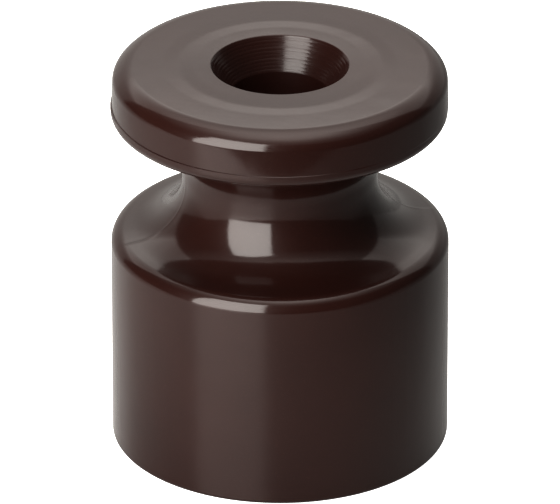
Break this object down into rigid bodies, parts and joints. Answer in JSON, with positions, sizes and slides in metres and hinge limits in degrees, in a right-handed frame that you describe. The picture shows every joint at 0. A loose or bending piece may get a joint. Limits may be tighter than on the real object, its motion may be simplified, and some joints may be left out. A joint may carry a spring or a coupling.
{
  "type": "knob insulator",
  "caption": "Brown moulded knob insulator for surface wiring: tall round foot, deep cable groove and top disc, fixed by a screw and washer inside its countersunk hole.",
  "frame": {"origin": "centre of the base face, on the wall plane", "axes": "+Z along the axis from the wall to the top disc; the groove's two mould halves meet in the XZ plane"},
  "size_m": [0.02, 0.02, 0.024],
  "materials": {
    "moulding": "glossy dark brown, injection moulded",
    "washer": "red-brown vulcanised fibre",
    "screw": "bright zinc plate"
  },
  "bodies": {
    "insulator": {"insulator_body": "moulding"},
    "washer": {"screw_washer": "washer"},
    "screw": {"fixing_screw": "screw"}
  },
  "joints": [
    {"name": "screw_travel", "type": "slide", "parent": "insulator", "child": "washer", "axis": [0, 0, -1], "range_m": [-0.025, 0.01255]},
    {"name": "screw_turn", "type": "hinge", "parent": "washer", "child": "screw", "pos_m": [0, 0, 0.0161], "axis": [0, 0, 1], "continuous": true}
  ]
}
